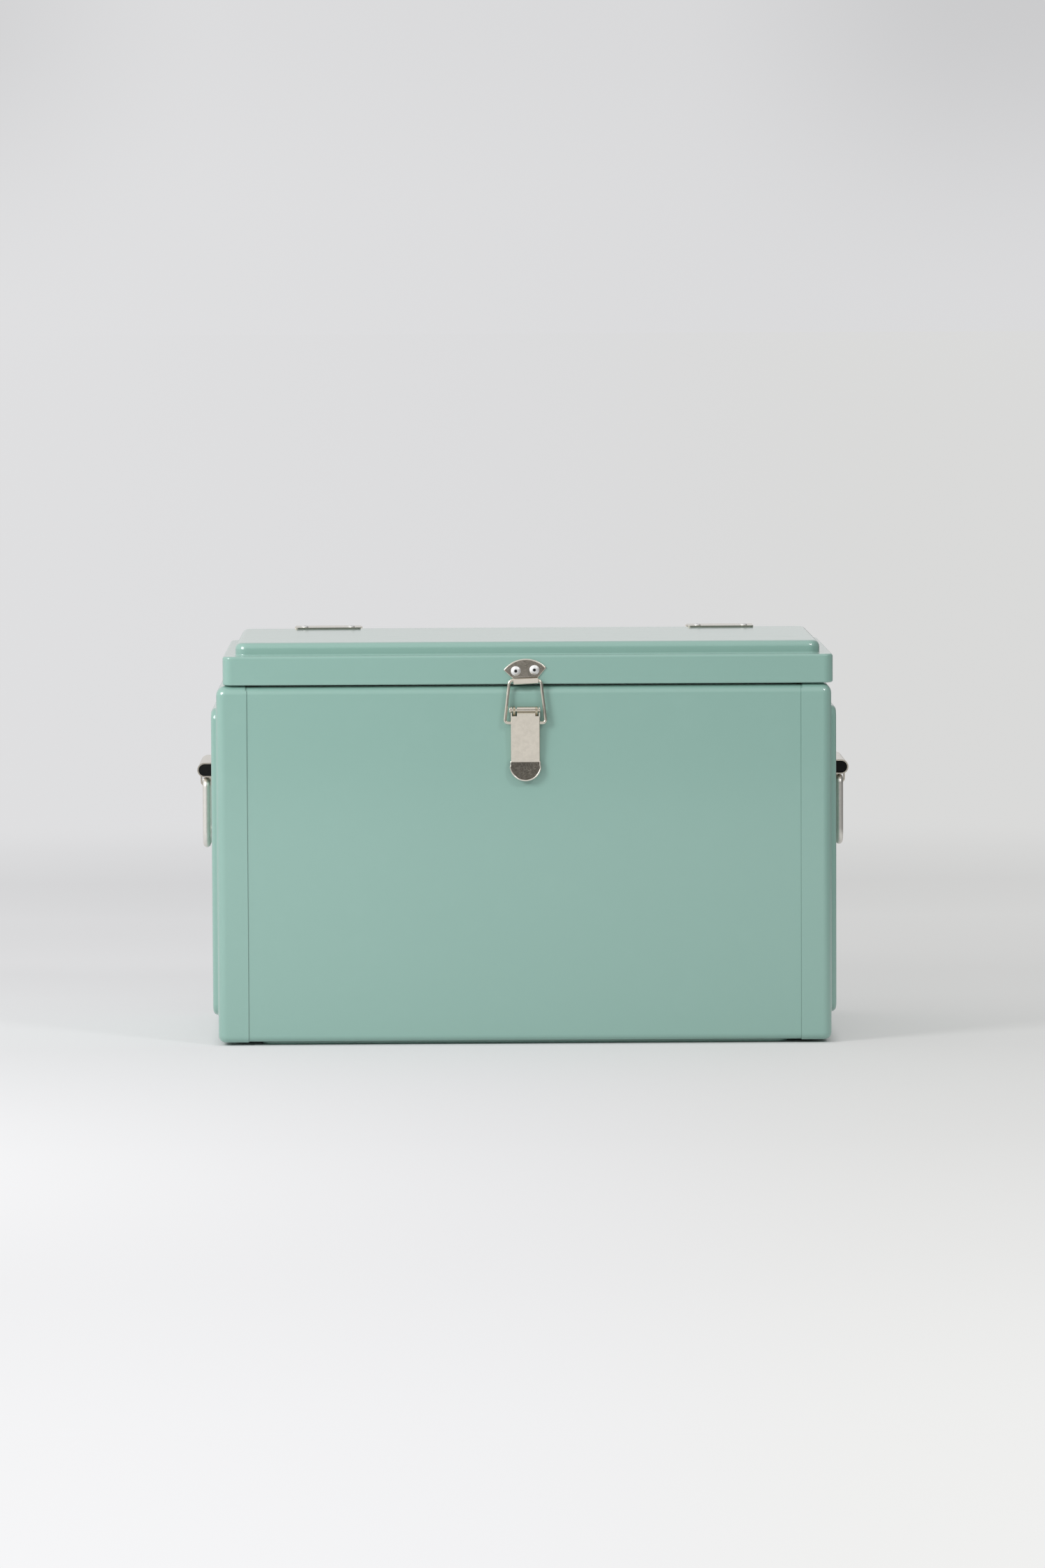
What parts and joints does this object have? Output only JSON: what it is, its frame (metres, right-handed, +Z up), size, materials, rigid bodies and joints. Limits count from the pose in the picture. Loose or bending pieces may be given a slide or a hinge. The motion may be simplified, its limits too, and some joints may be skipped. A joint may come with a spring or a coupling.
{
  "type": "cooler chest",
  "caption": "Insulated painted steel cooler chest with a hinged lid, a front draw latch and a wire drop handle on each end.",
  "frame": {"origin": "middle of the base panel's underside, on the plane that the chest stands on", "axes": "+X to the right along the width seen from the front, -Y out of the front with the latch, +Z up"},
  "size_m": [0.6436, 0.3279, 0.3963],
  "materials": {
    "green_enamel": "sage green enamel, satin gloss",
    "nickel_steel": "nickel-plated steel, lightly worn",
    "rivet_aluminium": "bare aluminium blind rivets",
    "foam": "cream polyurethane foam",
    "white_liner": "white polypropylene",
    "seal_rubber": "grey soft gasket",
    "black_filler": "black moulded filler"
  },
  "bodies": {
    "body": {"body_wrap": "green_enamel", "end_cap_left": "green_enamel", "end_cap_right": "green_enamel", "body_insulation": "foam", "liner_tub": "white_liner", "hinge_body_leaf_left": "nickel_steel", "hinge_body_leaf_right": "nickel_steel", "hinge_pin_left": "nickel_steel", "hinge_pin_right": "nickel_steel", "hinge_body_rivets": "rivet_aluminium", "latch_base_plate": "nickel_steel", "latch_base_rivets": "rivet_aluminium", "latch_pivot_pin": "nickel_steel", "handle_bracket_left": "nickel_steel", "handle_bracket_right": "nickel_steel", "handle_insert_left": "black_filler", "handle_insert_right": "black_filler", "handle_rivets_left": "rivet_aluminium", "handle_rivets_right": "rivet_aluminium"},
    "lid": {"lid_shell": "green_enamel", "lid_insulation": "foam", "lid_liner": "white_liner", "lid_gasket": "seal_rubber", "hinge_lid_leaf_left": "nickel_steel", "hinge_lid_leaf_right": "nickel_steel", "hinge_lid_rivets": "rivet_aluminium", "latch_catch": "nickel_steel", "latch_catch_rivets": "rivet_aluminium"},
    "latch_lever": {"latch_lever": "nickel_steel"},
    "latch_bail": {"latch_bail": "nickel_steel"},
    "handle_left": {"handle_bail_left": "nickel_steel"},
    "handle_right": {"handle_bail_right": "nickel_steel"}
  },
  "joints": [
    {"name": "lid_hinge", "type": "hinge", "parent": "body", "child": "lid", "pos_m": [0.004, 0.1595, 0.391], "axis": [-1, 0, 0], "range_deg": [0, 105]},
    {"name": "latch_lever_pivot", "type": "hinge", "parent": "body", "child": "latch_lever", "pos_m": [0.0013, -0.1614, 0.3278], "axis": [-1, 0, 0], "range_deg": [0, 70]},
    {"name": "latch_bail_pivot", "type": "hinge", "parent": "latch_lever", "child": "latch_bail", "pos_m": [0.0013, -0.1595, 0.3151], "axis": [-1, 0, 0], "range_deg": [-53, 0]},
    {"name": "handle_left_swing", "type": "hinge", "parent": "body", "child": "handle_left", "pos_m": [-0.3131, 0, 0.2518], "axis": [0, 1, 0], "range_deg": [-3, 102]},
    {"name": "handle_right_swing", "type": "hinge", "parent": "body", "child": "handle_right", "pos_m": [0.3131, 0, 0.2518], "axis": [0, -1, 0], "range_deg": [-3, 102]}
  ],
  "couplings": [
    {"joint": "latch_bail_pivot", "follows": "latch_lever_pivot", "ratio": -0.74}
  ]
}
